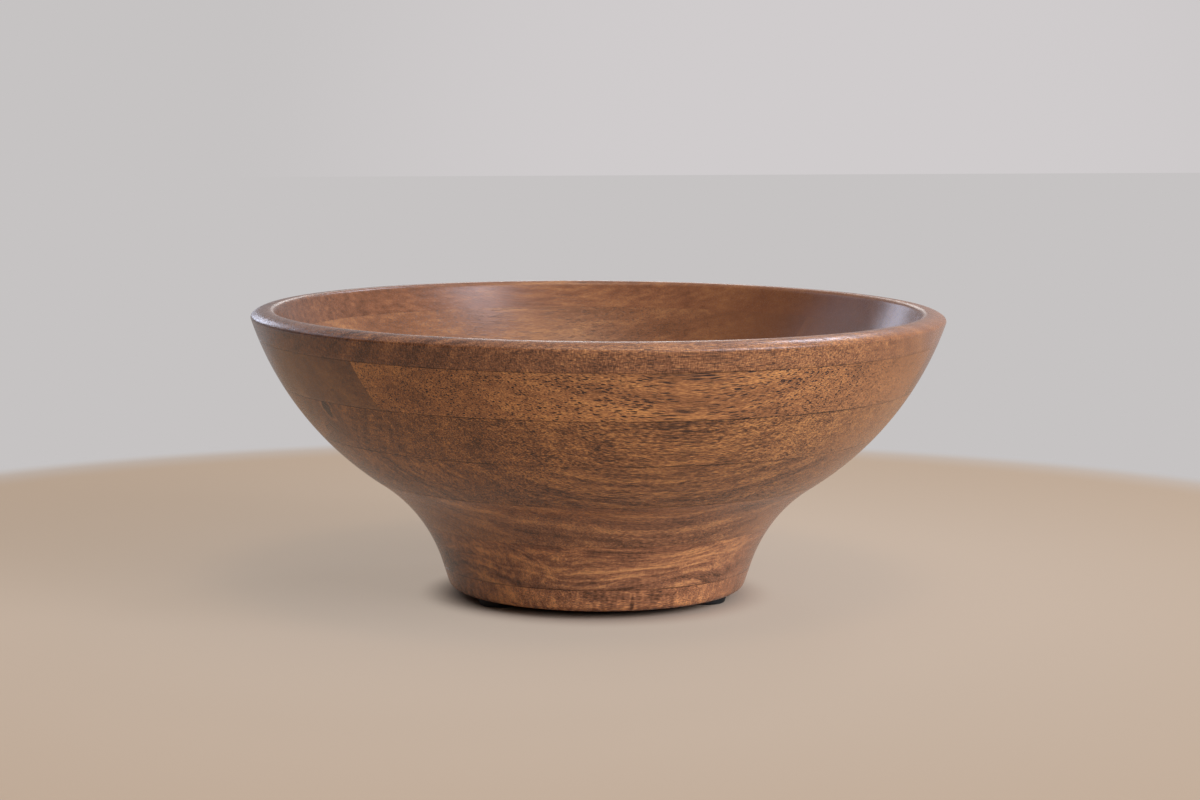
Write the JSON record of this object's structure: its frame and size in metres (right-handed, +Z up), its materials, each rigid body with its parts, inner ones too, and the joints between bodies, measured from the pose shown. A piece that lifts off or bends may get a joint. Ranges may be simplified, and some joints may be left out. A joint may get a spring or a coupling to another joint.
{
  "type": "footed serving bowl",
  "caption": "Wide turned hardwood serving bowl glued up from level courses of boards, with a lip that falls outwards, a coved foot and small rubber pads.",
  "frame": {"origin": "centre of the footprint, in the plane of the pads' undersides", "axes": "+Z up along the turning axis, X along the grain of every board, so the joints within a course are planes of constant Y"},
  "size_m": [0.3, 0.3, 0.1253],
  "materials": {
    "foot_wood": "satin oiled hardwood, light course",
    "base_wood": "satin oiled hardwood",
    "cove_wood": "satin oiled hardwood",
    "belly_wood": "satin oiled hardwood",
    "shoulder_wood": "satin oiled hardwood",
    "wall_wood": "satin oiled hardwood",
    "rim_wood": "satin oiled hardwood, dark course",
    "pad_rubber": "matt black rubber"
  },
  "bodies": {
    "root": {"foot_board": "foot_wood", "base_board_front": "base_wood", "base_board_rear": "base_wood", "cove_board_front": "cove_wood", "cove_board_rear": "cove_wood", "belly_board_front": "belly_wood", "belly_board_rear": "belly_wood", "shoulder_board_front": "shoulder_wood", "shoulder_board_left": "shoulder_wood", "shoulder_board_right": "shoulder_wood", "shoulder_board_rear": "shoulder_wood", "wall_board_front": "wall_wood", "wall_board_left": "wall_wood", "wall_board_right": "wall_wood", "wall_board_rear": "wall_wood", "rim_board_front": "rim_wood", "rim_board_left": "rim_wood", "rim_board_right": "rim_wood", "rim_board_rear": "rim_wood", "foot_pad_right": "pad_rubber", "foot_pad_left": "pad_rubber", "foot_pad_rear": "pad_rubber"}
  },
  "joints": []
}
